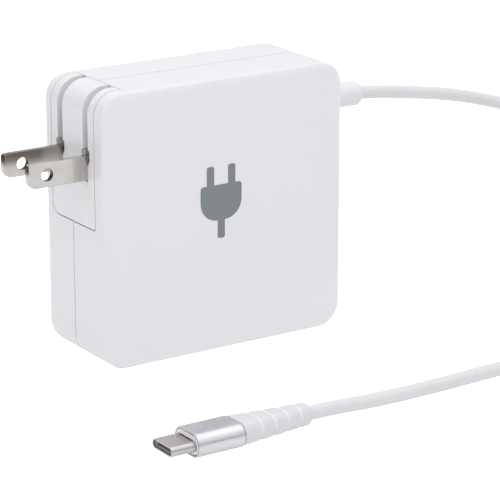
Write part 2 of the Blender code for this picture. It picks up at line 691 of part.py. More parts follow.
def make_connector(white, aluminium, steel, black):
    half_y, half_z = SLEEVE_HALF
    rings = []
    for x, grow_y, grow_z in (
        (SLEEVE_REAR_X + GAP, 0.25, 0.12), (-28.0, 0.9, 0.2), (-22.0, 2.0, 0.3),
        (BOOT_END_X, 3.0, 0.45),
    ):
        rings.append([at("x", x, u, v) for u, v in oval(half_y - grow_y, half_z - grow_z)])
    piece("plug_boot", loft(rings), white)

    hole = oval(half_y - SLEEVE_WALL, half_z - SLEEVE_WALL)
    piece(
        "plug_sleeve",
        ring_prism(oval(half_y, half_z), hole, "x", SLEEVE_FRONT_X, SLEEVE_REAR_X),
        aluminium,
    )
    shell_y, shell_z = SHELL_HALF
    inset = SLEEVE_WALL + TRIM_GAP
    shell_end = SLEEVE_FRONT_X + 9.0
    piece(
        "plug_collar",
        ring_prism(
            oval(half_y - inset, half_z - inset),
            oval(shell_y + TRIM_GAP, shell_z + TRIM_GAP),
            "x", SLEEVE_FRONT_X + 0.5, SLEEVE_REAR_X - 0.6,
        ),
        white,
    )
    piece(
        "connector_shell",
        ring_prism(
            oval(shell_y, shell_z), oval(shell_y - 0.35, shell_z - 0.35), "x", SHELL_TIP_X, shell_end
        ),
        steel,
    )
    carrier_y, carrier_z = shell_y - 0.62, shell_z - 0.6
    carrier = piece(
        "contact_carrier",
        prism(oval(carrier_y, carrier_z), "x", SHELL_TIP_X + 0.9, shell_end - 0.5),
        black,
    )
    # the slot that takes the socket's tongue
    low = (SHELL_TIP_X - 1, PLUG_AXIS_Y - 3.0, PLUG_AXIS_Z - 0.36)
    cut(carrier, box(low, (SHELL_TIP_X + 5.5, PLUG_AXIS_Y + 3.0, PLUG_AXIS_Z + 0.36)))


# ---------------------------------------------------------------- assembly


def main():
    clear_scene()
    white = material("white_plastic", (0.80, 0.80, 0.81), 0.35)
    cable_white = material("cable_white", (0.78, 0.78, 0.80), 0.45)
    nickel = material("nickel", (0.62, 0.60, 0.58), 0.25, 1.0)
    bronze = material("bronze", (0.42, 0.28, 0.17), 0.35, 1.0)
    steel = material("steel", (0.55, 0.54, 0.53), 0.3, 1.0)
    aluminium = material("aluminium", (0.66, 0.66, 0.69), 0.35, 1.0)
    copper = material("copper", (0.72, 0.36, 0.18), 0.35, 1.0)
    silver = material("capacitor_can", (0.5, 0.52, 0.55), 0.3, 0.8)
    black = material("black_plastic", (0.03, 0.03, 0.03), 0.5)
    ferrite = material("ferrite", (0.06, 0.06, 0.065), 0.6)
    green = material("circuit_board", (0.03, 0.20, 0.09), 0.5)
    yellow = material("yellow_film", (0.75, 0.55, 0.08), 0.4)
    sheet = material("insulation", (0.85, 0.82, 0.70), 0.5)
    blue = material("blue_ceramic", (0.08, 0.22, 0.60), 0.4)
    brown = material("brown_insulation", (0.25, 0.12, 0.05), 0.45)
    red = material("red_insulation", (0.6, 0.04, 0.03), 0.45)
    strap = material("grey_strap", (0.62, 0.63, 0.65), 0.8)

    make_shells(white)
    make_inlet(black, nickel)
    make_lock_stud(steel)
    make_strain_relief(white)
    make_board(green, sheet, aluminium)
    make_line_filter(black, copper, yellow)
    make_power_stage(black, silver, aluminium)
    make_transformer(ferrite, black, yellow)
    make_output_stage(black, blue, copper, silver, green)
    make_wires(brown, blue, red, black)

    module = frame_empty("plug_module_frame", (MODULE_INNER, PLUG_Y, MODULE_BOTTOM))
    make_plug_housing(white, module)
    make_plug_cover(white, module)
    make_contacts(bronze, module)
    make_pivot_pin(steel, module)
    pivot = frame_empty("blade_pivot_frame", (PIVOT_X, PLUG_Y, PIVOT_Z))
    make_blades(nickel, black, pivot)
    ride(pivot, module)

    make_cable(cable_white, strap)
    make_connector(cable_white, aluminium, steel, black)


main()
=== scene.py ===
import json
import math

import bmesh
import bpy
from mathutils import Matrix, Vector


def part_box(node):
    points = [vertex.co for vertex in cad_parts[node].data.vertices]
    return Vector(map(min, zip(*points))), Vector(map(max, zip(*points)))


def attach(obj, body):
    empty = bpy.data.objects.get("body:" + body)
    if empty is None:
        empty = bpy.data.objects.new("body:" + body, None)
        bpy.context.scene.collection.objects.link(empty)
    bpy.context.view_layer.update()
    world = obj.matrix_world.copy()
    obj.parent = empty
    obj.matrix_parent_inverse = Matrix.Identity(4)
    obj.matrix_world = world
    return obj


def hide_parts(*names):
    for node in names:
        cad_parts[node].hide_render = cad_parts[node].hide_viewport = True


# Shapes are in millimetres, in the frame's axes: +X is the cable's side, -Y the front, +Z up.
MM = 0.001

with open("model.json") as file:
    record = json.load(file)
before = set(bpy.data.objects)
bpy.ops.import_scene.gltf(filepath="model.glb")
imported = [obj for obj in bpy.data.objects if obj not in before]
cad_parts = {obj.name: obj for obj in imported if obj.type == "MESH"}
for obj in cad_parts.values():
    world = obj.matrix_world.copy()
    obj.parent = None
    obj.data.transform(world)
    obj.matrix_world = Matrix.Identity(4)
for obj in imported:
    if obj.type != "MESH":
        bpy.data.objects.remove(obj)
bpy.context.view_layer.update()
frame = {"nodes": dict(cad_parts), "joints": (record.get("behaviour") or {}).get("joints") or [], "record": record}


def corners(node):
    """A CAD node's lowest and highest corner in millimetres."""
    low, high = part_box(node)
    return low / MM, high / MM


# ---------------------------------------------------------------- sizes

GAP = 0.3  # between pieces that meet

# The body
(LEFT, FRONT, _), (RIGHT, _, HEIGHT) = corners("front_shell")
SEAM_Y = corners("back_shell")[0].y - GAP / 2
BACK = corners("back_shell")[1].y
CORNER = 6.3
FRONT_EDGE, BACK_EDGE = (5.5, 1.4), (4.6, 4.6)  # in from the side, back from the face
WALL, LAP = 2.2, 1.6

# The plug module in its corner
(_, MODULE_FRONT, MODULE_BOTTOM), (MODULE_INNER, MODULE_BACK, _) = corners("plug_housing")
RECESS_FLOOR = MODULE_BOTTOM - 0.35
RECESS_WALL = MODULE_INNER + GAP
LINING = 2.0
COVER_LOW, COVER_HIGH = corners("plug_cover")
STUD_Z = (corners("lock_stud")[0].z + corners("lock_stud")[1].z) / 2
NECK_HALF, HEAD_HALF = 1.8, 2.95
HEAD_CHANNEL_X = MODULE_INNER - 1.0

# The blades
BLADES = {place: corners(f"blade_{place}") for place in ("front", "rear")}
BLADE_YS = {place: (low.y + high.y) / 2 for place, (low, high) in BLADES.items()}
PLUG_Y = sum(BLADE_YS.values()) / 2
PIVOT = next(Vector(j["pos_m"]) / MM for j in frame["joints"] if j["name"] == "blade_fold")
PIN_HOLE_R = 1.3
HOLE_X, HOLE_R = LEFT - 11.35, 1.6  # the hole near each blade's tip
SLOT_WIDTH, POCKET_WIDTH, POCKET_Z = 2.6, 4.0, (47.3, 56.6)
FACE_TOP = 52.6  # of the thin face left on both sides of each blade
FACE_BACK = LEFT + 0.9
SLOT_FLOOR_X = MODULE_INNER - 0.85

# The inlet
INLET_PINS = {place: corners(f"inlet_pin_{place}") for place in ("front", "rear")}
INLET_X = (INLET_PINS["front"][0].x + INLET_PINS["front"][1].x) / 2
INLET_YS = {place: (low.y + high.y) / 2 for place, (low, high) in INLET_PINS.items()}

# The cable and its connector
CORD_R = 1.8
RELIEF_LOW, RELIEF_HIGH = corners("cord_strain_relief")
RELIEF_Z = (RELIEF_LOW.z + RELIEF_HIGH.z) / 2
RELIEF_R = 3.1
COIL_LOW, COIL_HIGH = corners("cable_coil")
COIL_CENTRE = (COIL_LOW + COIL_HIGH) / 2
COIL_TURNS, COIL_LAYERS, TURNS_PER_LAYER = 11.25, 4, 3
SLEEVE_LOW, SLEEVE_HIGH = corners("plug_sleeve")
PLUG_CENTRE = (SLEEVE_LOW + SLEEVE_HIGH) / 2
SLEEVE_HALF = (SLEEVE_HIGH - SLEEVE_LOW) / 2
SHELL_LOW, SHELL_HIGH = corners("connector_shell")
SLEEVE_WALL, TRIM_GAP = 0.45, 0.15
SHELL_Y, SHELL_Z, SHELL_WALL = 4.4, 1.22, 0.35  # the shell's half width, half height and wall
BOOT_END = corners("plug_boot")[1].x
GROOVE_COUNT = 4
GROOVES = (-29.2, 4.0)  # the boot's first groove, and their pitch


# ---------------------------------------------------------------- outlines and solids


def fillet(points, radii, steps=10):
    """A closed outline with each corner rounded to its radius by an arc of the given steps."""
    outline = []
    for i, point in enumerate(points):
        here = Vector(point)
        before = (Vector(points[i - 1]) - here).normalized()
        after = (Vector(points[(i + 1) % len(points)]) - here).normalized()
        radius = radii[i] if isinstance(radii, (list, tuple)) else radii
        if radius <= 0:
            outline.append(tuple(here))
            continue
        half = before.angle(after) / 2
        centre = here + (before + after).normalized() * radius / math.sin(half)
        start = here + before * radius / math.tan(half) - centre
        end = here + after * radius / math.tan(half) - centre
        turn = start.angle_signed(end)
        for step in range(steps + 1):
            cos, sin = math.cos(-turn * step / steps), math.sin(-turn * step / steps)
            outline.append(
                (centre.x + start.x * cos - start.y * sin, centre.y + start.x * sin + start.y * cos)
            )
    return outline


def rectangle(u0, v0, u1, v1, radius=0.0, steps=10):
    return fillet([(u0, v0), (u1, v0), (u1, v1), (u0, v1)], radius, steps)


def circle(centre, radius, sides=64):
    turns = [2 * math.pi * i / sides for i in range(sides)]
    return [(centre[0] + radius * math.cos(t), centre[1] + radius * math.sin(t)) for t in turns]


def at(axis, place, u, v):
    """The point at a place along an axis: the outline's (u, v) are the other two axes, in order."""
    return {"x": (place, u, v), "y": (u, place, v), "z": (u, v, place)}[axis]


def loft(rings, closed=False):
    """Skins rings of equally many points. It caps the ends, or joins the last ring to the first."""
    count = len(rings[0])
    points = [point for ring in rings for point in ring]
    faces = []
    for i in range(len(rings) if closed else len(rings) - 1):
        a, b = i * count, (i + 1) % len(rings) * count
        for j in range(count):
            k = (j + 1) % count
            faces.append((a + j, a + k, b + k, b + j))
    if not closed:
        faces.append(tuple(reversed(range(count))))
        faces.append(tuple(range(len(points) - count, len(points))))
    return points, faces


def prism(outline, axis, start, end):
    return loft([[at(axis, place, u, v) for u, v in outline] for place in (start, end)])


def ring_prism(outer, inner, axis, start, end):
    places = [(outer, start), (outer, end), (inner, end), (inner, start)]
    return loft([[at(axis, place, u, v) for u, v in outline] for outline, place in places], True)


def box(low, high, radius=0.0, axis="y"):
    """A block between two corners, with its four edges along the axis rounded."""
    i = "xyz".index(axis)
    j, k = [n for n in range(3) if n != i]
    return prism(rectangle(low[j], low[k], high[j], high[k], radius), axis, low[i], high[i])


def rod(axis, centre, radius, start, end, sides=48):
    return prism(circle(centre, radius, sides), axis, start, end)


def turned(axis, centre, profile, sides=64):
    """A solid of revolution: the profile is (place along the axis, radius) from end to end."""
    return loft([[at(axis, a, u, v) for u, v in circle(centre, r, sides)] for a, r in profile])


def body_block():
    """The adapter's outer form: a rounded square whose front and back edges follow ellipses."""
    rings = []
    steps = 14
    arcs = [math.pi / 2 * i / steps for i in range(steps + 1)]
    for side, (inward, back) in ((FRONT, FRONT_EDGE), (BACK, BACK_EDGE)):
        sign = math.copysign(1, side)
        for arc in reversed(arcs) if sign > 0 else arcs:
            inset = inward * (1 - math.sin(arc))
            outline = rectangle(
                LEFT + inset, inset, RIGHT - inset, HEIGHT - inset, CORNER - inset, 18
            )
            place = side - sign * back * (1 - math.cos(arc))
            rings.append([at("y", place, u, v) for u, v in outline])
    return loft(rings)


def cavity(grow, y_low, y_high):
    """The inside of the body: an L that leaves the corner recess and its lining standing."""
    low, high = LEFT + WALL - grow, RIGHT - WALL + grow
    floor, top = WALL - grow, HEIGHT - WALL + grow
    step_x, step_z = RECESS_WALL + LINING - grow, RECESS_FLOOR - LINING + grow
    outline = [
        (low, floor), (high, floor), (high, top), (step_x, top), (step_x, step_z), (low, step_z),
    ]
    radii = [CORNER - WALL, CORNER - WALL, CORNER - WALL, 0, 0, 0]
    return prism(fillet(outline, radii), "y", y_low, y_high)


# ---------------------------------------------------------------- objects


def mesh_object(name, shape):
    points, faces = shape
    mesh = bpy.data.meshes.new(name)
    mesh.from_pydata([[c * MM for c in point] for point in points], [], faces)
    work = bmesh.new()
    work.from_mesh(mesh)
    bmesh.ops.recalc_face_normals(work, faces=work.faces)
    work.to_mesh(mesh)
    work.free()
    obj = bpy.data.objects.new(name, mesh)
    bpy.context.scene.collection.objects.link(obj)
    return obj


def boolean(obj, operation, *shapes):
    """Adds exact Booleans. settle() applies them and removes their tools."""
    for shape in shapes:
        tool = mesh_object("tool", shape) if isinstance(shape, tuple) else shape
        step = obj.modifiers.new("boolean", "BOOLEAN")
        step.operation = operation
        step.solver = "EXACT"
        step.object = tool


def settle(obj, round_by=0.0, segments=2, sharp=32):
    """Applies an object's modifiers, cleans its mesh, and rounds its hard edges."""
    tools = {step.object for step in obj.modifiers if step.type == "BOOLEAN"}
    if obj.modifiers:
        graph = bpy.context.evaluated_depsgraph_get()
        graph.update()
        mesh = bpy.data.meshes.new_from_object(obj.evaluated_get(graph))
        obj.modifiers.clear()
        obj.data = mesh
    for tool in tools:
        bpy.data.objects.remove(tool, do_unlink=True)
    work = bmesh.new()
    work.from_mesh(obj.data)
    bmesh.ops.remove_doubles(work, verts=work.verts, dist=0.004 * MM)
    bmesh.ops.dissolve_degenerate(work, edges=work.edges, dist=0.004 * MM)
    bmesh.ops.dissolve_limit(
        work, angle_limit=math.radians(0.3), verts=work.verts, edges=work.edges
    )
    work.to_mesh(obj.data)
    work.free()
    obj.data.shade_smooth()
    if round_by:
        bevel = obj.modifiers.new("rounded edges", "BEVEL")
        bevel.width = round_by * MM
        bevel.segments = segments
        bevel.limit_method = "ANGLE"
        bevel.angle_limit = math.radians(sharp)
        bevel.miter_outer = "MITER_ARC"
    weighted = obj.modifiers.new("weighted normals", "WEIGHTED_NORMAL")
    weighted.keep_sharp = True
    return obj


def finish_piece(obj, surface, body, slot, *nodes):
    """Gives a piece its material, the body it moves with, and the CAD nodes it stands for."""
    obj.data.materials.clear()
    obj.data.materials.append(surface)
    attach(obj, body)
    if nodes:
        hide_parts(*nodes)
    return obj


def catmull_rom(route, per_span):
    """Points of a smooth curve through the route."""
    ends = [2 * Vector(route[0]) - Vector(route[1]), 2 * Vector(route[-1]) - Vector(route[-2])]
    knots = [ends[0], *map(Vector, route), ends[1]]
    points = []
    for a, b, c, d in zip(knots, knots[1:], knots[2:], knots[3:]):
        for step in range(per_span):
            t = step / per_span
            points.append(
                0.5 * (2 * b + (c - a) * t + (2 * a - 5 * b + 4 * c - d) * t**2
                       + (3 * b - a - 3 * c + d) * t**3)
            )
    return [*points, knots[-2]]


def smooth(t):
    t = max(0.0, min(1.0, t))
    return t * t * (3 - 2 * t)


# ---------------------------------------------------------------- materials


class Nodes:
    """A short way to write a material's nodes around its Principled shader."""

    def __init__(self, name):
        self.material = bpy.data.materials.new(name)
        self.material.use_nodes = True
        self.tree = self.material.node_tree
        self.shader = self.tree.nodes["Principled BSDF"]
        self.place = self.add("ShaderNodeTexCoord").outputs["Object"]

    def add(self, kind, **settings):
        node = self.tree.nodes.new(kind)
        for key, value in settings.items():
            setattr(node, key, value)
        return node

    def link(self, source, target):
        self.tree.links.new(source, target)

    def stretched(self, scale):
        mapping = self.add("ShaderNodeMapping")
        mapping.inputs["Scale"].default_value = scale
        self.link(self.place, mapping.inputs["Vector"])
        return mapping.outputs["Vector"]

    def noise(self, per_mm, stretch=(1, 1, 1), detail=2.0):
        node = self.add("ShaderNodeTexNoise")
        node.inputs["Scale"].default_value = per_mm / MM
        node.inputs["Detail"].default_value = detail
        self.link(self.stretched(stretch), node.inputs["Vector"])
        return node.outputs["Fac"]

    def between(self, factor, low, high):
        node = self.add("ShaderNodeMapRange")
        node.inputs["From Min"].default_value = 0.3
        node.inputs["From Max"].default_value = 0.7
        node.inputs["To Min"].default_value = low
        node.inputs["To Max"].default_value = high
        self.link(factor, node.inputs["Value"])
        return node.outputs["Result"]

    def ramp(self, value, zero_mm, one_mm):
        """A smooth step from 0 to 1 between two places."""
        node = self.add("ShaderNodeMapRange", interpolation_type="SMOOTHSTEP")
        node.inputs["From Min"].default_value = zero_mm * MM
        node.inputs["From Max"].default_value = one_mm * MM
        self.link(value, node.inputs["Value"])
        return node.outputs["Result"]

    def axes(self):
        """The place's X, Y and Z."""
        node = self.add("ShaderNodeSeparateXYZ")
        self.link(self.place, node.inputs[0])
        return node.outputs

    def combined(self, operation, first, second):
        node = self.add("ShaderNodeMath", operation=operation)
        self.link(first, node.inputs[0])
        self.link(second, node.inputs[1])
        return node.outputs[0]

    def mixed(self, factor, first, second):
        node = self.add("ShaderNodeMix", data_type="RGBA")
        self.link(factor, node.inputs["Factor"])
        node.inputs[6].default_value = (*first, 1.0)
        node.inputs[7].default_value = (*second, 1.0)
        return node.outputs[2]

    def bump(self, height, strength, depth_mm):
        node = self.add("ShaderNodeBump")
        node.inputs["Strength"].default_value = strength
        node.inputs["Distance"].default_value = depth_mm * MM
        self.link(height, node.inputs["Height"])
        return node.outputs["Normal"]

    def set(self, **values):
        for key, value in values.items():
            self.shader.inputs[key.replace("_", " ")].default_value = value

    def feed(self, **sources):
        for key, source in sources.items():
            self.link(source, self.shader.inputs[key.replace("_", " ")])


def shade(colour, by):
    return tuple(min(1.0, c * by) for c in colour)


def plastic(name, colour, roughness, spread=0.05, tone=0.02, grain=1.5, strength=0.12, **extra):
    """Moulded plastic: slow changes of tone, a fine moulded grain, and uneven gloss."""
    made = Nodes(name)
    slow, fine = made.noise(0.05, detail=3), made.noise(grain, detail=3)
    made.feed(
        Base_Color=made.mixed(
            made.between(slow, 0, 1), shade(colour, 1 - tone), shade(colour, 1 + tone)
        ),
        Roughness=made.between(made.noise(0.2), roughness - spread, roughness + spread),
        Normal=made.bump(fine, strength, 0.012),
    )
    made.set(**extra)
    return made.material


def metal(name, colour, roughness, stretch, lines=2.0, tone=0.08, strength=0.25):
    """Metal with fine lines: the stretch is small along the lines."""
    made = Nodes(name)
    streaks = made.noise(lines, stretch, 3)
    clouds = made.noise(0.12, detail=2)
    made.feed(
        Base_Color=made.mixed(
            made.between(clouds, 0, 1), shade(colour, 1 - tone), shade(colour, 1 + tone)
        ),
        Roughness=made.between(streaks, roughness * 0.75, roughness * 1.3),
        Normal=made.bump(streaks, strength, 0.01),
    )
    made.set(Metallic=1.0)
    return made.material


def woven(name, colour, pitch):
    """A strap's weave: two crossed sets of threads, and a soft sheen."""
    made = Nodes(name)
    heights = []
    for axis in ("X", "Z"):
        wave = made.add("ShaderNodeTexWave", wave_type="BANDS", bands_direction=axis)
        wave.inputs["Scale"].default_value = 0.3142 / (pitch * MM)
        wave.inputs["Distortion"].default_value = 0.6
        made.link(made.place, wave.inputs["Vector"])
        heights.append(wave.outputs["Fac"])
    threads = made.combined("MAXIMUM", *heights)
    made.feed(
        Base_Color=made.mixed(threads, shade(colour, 0.75), shade(colour, 1.1)),
        Roughness=made.between(made.noise(0.8), 0.75, 0.95),
        Normal=made.bump(threads, 0.6, 0.12),
    )
    made.set(Sheen_Weight=0.4)
    return made.material


def wound(name, colour, pitch, axis, metallic=0.0, roughness=0.4):
    """Wire or tape laid in turns."""
    made = Nodes(name)
    wave = made.add("ShaderNodeTexWave", wave_type="BANDS", bands_direction=axis)
    wave.inputs["Scale"].default_value = 0.3142 / (pitch * MM)
    wave.inputs["Distortion"].default_value = 0.3
    made.link(made.place, wave.inputs["Vector"])
    made.feed(
        Base_Color=made.mixed(wave.outputs["Fac"], shade(colour, 0.55), shade(colour, 1.1)),
        Roughness=made.between(made.noise(0.5), roughness - 0.1, roughness + 0.1),
        Normal=made.bump(wave.outputs["Fac"], 0.7, 0.15),
    )
    made.set(Metallic=metallic)
    return made.material


def circuit_board(name):
    """Green solder mask over square-cornered copper, with a faint glass weave."""
    made = Nodes(name)
    tracks = made.add("ShaderNodeTexVoronoi", distance="CHEBYCHEV", feature="DISTANCE_TO_EDGE")
    tracks.inputs["Scale"].default_value = 0.35 / MM
    made.link(made.place, tracks.inputs["Vector"])
    edge = made.add("ShaderNodeMath", operation="LESS_THAN")
    edge.inputs[1].default_value = 0.08
    made.link(tracks.outputs["Distance"], edge.inputs[0])
    made.feed(
        Base_Color=made.mixed(edge.outputs[0], (0.012, 0.13, 0.05), (0.03, 0.24, 0.10)),
        Roughness=made.between(made.noise(1.0), 0.3, 0.5),
        Normal=made.bump(edge.outputs[0], 0.3, 0.03),
    )
    return made.material


def blade_painted_edge_shade(made, x, z, middle):
    """Painted shade on a blade: a near-black band at the top of its tip, where its thickness face lies in shadow,
    and a dark ring in its hole.
    """
    tip = BLADES["front"][0].x
    # painted shadow on the thickness face at the top of the tip
    edge = made.combined(
        "MULTIPLY", made.ramp(x, tip + 0.5, tip + 0.1), made.ramp(z, middle, middle + 1.6)
    )
    flat = made.add("ShaderNodeCombineXYZ")
    made.link(x, flat.inputs["X"])
    made.link(z, flat.inputs["Z"])
    from_hole = made.add("ShaderNodeVectorMath", operation="DISTANCE")
    from_hole.inputs[1].default_value = (HOLE_X * MM, 0, middle * MM)
    made.link(flat.outputs[0], from_hole.inputs[0])
    # painted shade in the hole's bore and on its rounded rim
    painted_hole_shade = made.combined(
        "MULTIPLY",
        made.ramp(from_hole.outputs["Value"], HOLE_R + 0.14, HOLE_R + 0.03),
        made.ramp(x, HOLE_X - 0.6, HOLE_X + 0.6),
    )
    return made.combined("MAXIMUM", edge, painted_hole_shade)


def blade_nickel(name, upper):
    """Polished nickel plate: clouded, darkened towards its upper edge by painted shade in the upper colour, and
    with painted shade at the top of its tip and in its hole.
    """
    made = Nodes(name)
    x, _, z = made.axes()
    middle = (BLADES["front"][0].z + BLADES["front"][1].z) / 2
    clouds = made.between(made.noise(0.11, (1, 1, 2.2), 2), 0, 1)
    face = made.mixed(clouds, (0.53, 0.505, 0.48), (0.60, 0.59, 0.585))
    # painted shade: the upper colour is multiplied into the face towards its upper edge
    painted_upper_shade = made.mixed(made.ramp(z, middle + 2.6, middle - 1.0), upper, (1, 1, 1))
    face_with_painted_shade = made.add("ShaderNodeMix", data_type="RGBA", blend_type="MULTIPLY")
    face_with_painted_shade.inputs["Factor"].default_value = 1.0
    made.link(face, face_with_painted_shade.inputs[6])
    made.link(painted_upper_shade, face_with_painted_shade.inputs[7])
    colour = made.add("ShaderNodeMix", data_type="RGBA")
    made.link(blade_painted_edge_shade(made, x, z, middle), colour.inputs["Factor"])
    made.link(face_with_painted_shade.outputs[2], colour.inputs[6])
    # near-black colour of the painted shade on the tip and in the hole
    colour.inputs[7].default_value = (0.05, 0.045, 0.04, 1)
    lines = made.noise(2.5, (0.05, 1, 1), 3)
    made.feed(
        Base_Color=colour.outputs[2],
        Roughness=made.between(made.noise(0.3, (0.3, 1, 1)), 0.17, 0.25),
        Normal=made.bump(lines, 0.05, 0.01),
    )
    made.set(Metallic=1.0)
    return made.material


def boot_white(name, colour, first, pitch):
    """The cable's plastic with a painted highlight: lighter in the boot's evenly spaced grooves, and most so on
    top, where the light from above falls.
    """
    made = Nodes(name)
    x, _, z = made.axes()
    from_groove = x
    for operation, value in (
        ("SUBTRACT", (first - pitch / 2) * MM), ("DIVIDE", pitch * MM), ("FRACT", 0),
        ("SUBTRACT", 0.5), ("ABSOLUTE", 0),
    ):
        step = made.add("ShaderNodeMath", operation=operation)
        made.link(from_groove, step.inputs[0])
        step.inputs[1].default_value = value
        from_groove = step.outputs[0]
    # painted highlight: a band along each groove is made lighter, as if the light from above caught it
    groove = made.add("ShaderNodeMapRange", interpolation_type="SMOOTHSTEP")
    groove.inputs["From Min"].default_value = 0.13
    groove.inputs["From Max"].default_value = 0.0
    made.link(from_groove, groove.inputs["Value"])
    behind = made.ramp(x, first - pitch * 0.6, first - pitch * 0.4)
    # painted highlight: it grows towards the top of the boot, where the light falls
    upper = made.ramp(z, 0.5, 4.0)
    light = made.combined(
        "MULTIPLY", groove.outputs["Result"], made.combined("MULTIPLY", behind, upper)
    )
    made.feed(
        Base_Color=made.mixed(light, colour, shade(colour, 1.22)),
        Roughness=made.between(made.noise(0.2), 0.32, 0.42),
        Normal=made.bump(made.noise(0.9, detail=3), 0.08, 0.012),
    )
    made.set(
        Subsurface_Weight=0.2, Subsurface_Radius=(1.0, 0.9, 0.85), Subsurface_Scale=0.0015
    )
    return made.material


WHITE = plastic(
    "white_plastic", (0.80, 0.793, 0.82), 0.36, tone=0.008, grain=1.2, strength=0.05,
    Subsurface_Weight=0.12, Subsurface_Radius=(1.0, 0.9, 0.8), Subsurface_Scale=0.0012,
    Coat_Weight=0.12, Coat_Roughness=0.25,
)
CABLE_WHITE = plastic(
    "cable_white", (0.70, 0.70, 0.72), 0.42, tone=0.012, grain=0.9, strength=0.08,
    Subsurface_Weight=0.2, Subsurface_Radius=(1.0, 0.9, 0.85), Subsurface_Scale=0.0015,
)
RELIEF_WHITE = plastic("relief_white", (0.755, 0.755, 0.775), 0.4, tone=0.01)
COLLAR_WHITE = plastic("collar_white", (0.96, 0.96, 0.97), 0.3, tone=0.01)
# the boot's plastic, with painted highlights along its grooves
BOOT_WHITE = boot_white("boot_white", (0.675, 0.675, 0.70), *GROOVES)
NICKEL = metal("nickel", (0.62, 0.60, 0.58), 0.22, (0.06, 1, 1), 3.0, 0.06, 0.1)
BLADE_NICKEL = {
    # the rear blade's upper colour darkens it with painted shade; the front blade's barely changes it
    "front": blade_nickel("front_blade_nickel", (1.0, 0.98, 0.96)),
    "rear": blade_nickel("rear_blade_nickel", (0.62, 0.57, 0.52)),
}
STEEL = metal("steel", (0.56, 0.53, 0.515), 0.30, (0.3, 1, 1), 3.0, 0.04, 0.05)
BRONZE = plastic("bronze", (0.56, 0.53, 0.49), 0.5, tone=0.12, Metallic=0.25)
ALUMINIUM = metal("sleeve_aluminium", (0.675, 0.67, 0.71), 0.33, (0.1, 1, 1), 3.0, 0.04, 0.02)
SPREADER = metal("heat_spreader", (0.62, 0.63, 0.65), 0.4, (1, 1, 0.05))
GOLD = metal("gold_contacts", (0.45, 0.41, 0.35), 0.4, (1, 1, 1))
BLACK = plastic("black_plastic", (0.03, 0.03, 0.032), 0.5, tone=0.15)
DARK_GREY = plastic("dark_grey_plastic", (0.30, 0.30, 0.305), 0.4, tone=0.04)
INK = plastic("grey_ink", (0.205, 0.225, 0.245), 0.5, tone=0.03)
STRAP = woven("cable_tie", (0.62, 0.63, 0.65), 0.9)

SLOT_MATERIALS = {
    "white_plastic": WHITE,
    "cable_white": CABLE_WHITE,
    "cable_tie": STRAP,
    "nickel": NICKEL,
    "bronze": BRONZE,
    "steel": STEEL,
    "sleeve_aluminium": ALUMINIUM,
    "heat_spreader": SPREADER,
    "copper": wound("copper", (0.72, 0.34, 0.15), 0.9, "Z", 0.9, 0.35),
    "black_plastic": BLACK,
    "ferrite": plastic("ferrite", (0.06, 0.06, 0.065), 0.6, tone=0.2, strength=0.4),
    "circuit_board": circuit_board("circuit_board"),
    "insulating_sheet": plastic("insulating_sheet", (0.85, 0.82, 0.70), 0.5, tone=0.05),
    "yellow_film": wound("yellow_film", (0.78, 0.56, 0.08), 2.4, "X"),
    "capacitor_can": metal("capacitor_can", (0.5, 0.52, 0.55), 0.3, (1, 1, 0.2)),
    "blue_ceramic": plastic("blue_ceramic", (0.08, 0.22, 0.60), 0.35, tone=0.1),
    "brown_wire": plastic("brown_wire", (0.25, 0.12, 0.05), 0.45, tone=0.08),
    "blue_wire": plastic("blue_wire", (0.08, 0.22, 0.60), 0.45, tone=0.08),
    "red_wire": plastic("red_wire", (0.60, 0.04, 0.03), 0.45, tone=0.08),
    "black_wire": plastic("black_wire", (0.03, 0.03, 0.03), 0.45, tone=0.1),
}


def dress_cad_nodes():
    """Gives every CAD node its slot's material, for the nodes that no piece stands for."""
    for row in frame["record"]["subparts"]:
        mesh = frame["nodes"][row["node"]].data
        mesh.materials.clear()
        mesh.materials.append(SLOT_MATERIALS[row["material_slot"]])


# ---------------------------------------------------------------- camera, light and floor


def make_camera():
    data = bpy.data.cameras.new("camera")
    data.sensor_width = 36.0
    data.lens = 186.0
    data.clip_start, data.clip_end = 0.01, 50.0
    camera = bpy.data.objects.new("camera", data)
    heading, down = math.radians(33.30), math.radians(17.32)
    forward = Vector(
        (
            math.sin(heading) * math.cos(down),
            math.cos(heading) * math.cos(down),
            -math.sin(down),
        )
    )
    camera.location = (-0.3426, -0.5485, 0.2241)
    camera.rotation_euler = forward.to_track_quat("-Z", "Y").to_euler()
    bpy.context.scene.collection.objects.link(camera)
    bpy.context.scene.camera = camera


def area_light(name, place, target, size, energy):
    data = bpy.data.lights.new(name, "AREA")
    data.shape = "RECTANGLE"
    data.size, data.size_y = size
    data.energy = energy
    light = bpy.data.objects.new(name, data)
    light.location = place
    light.rotation_euler = (Vector(target) - Vector(place)).to_track_quat("-Z", "Y").to_euler()
    bpy.context.scene.collection.objects.link(light)


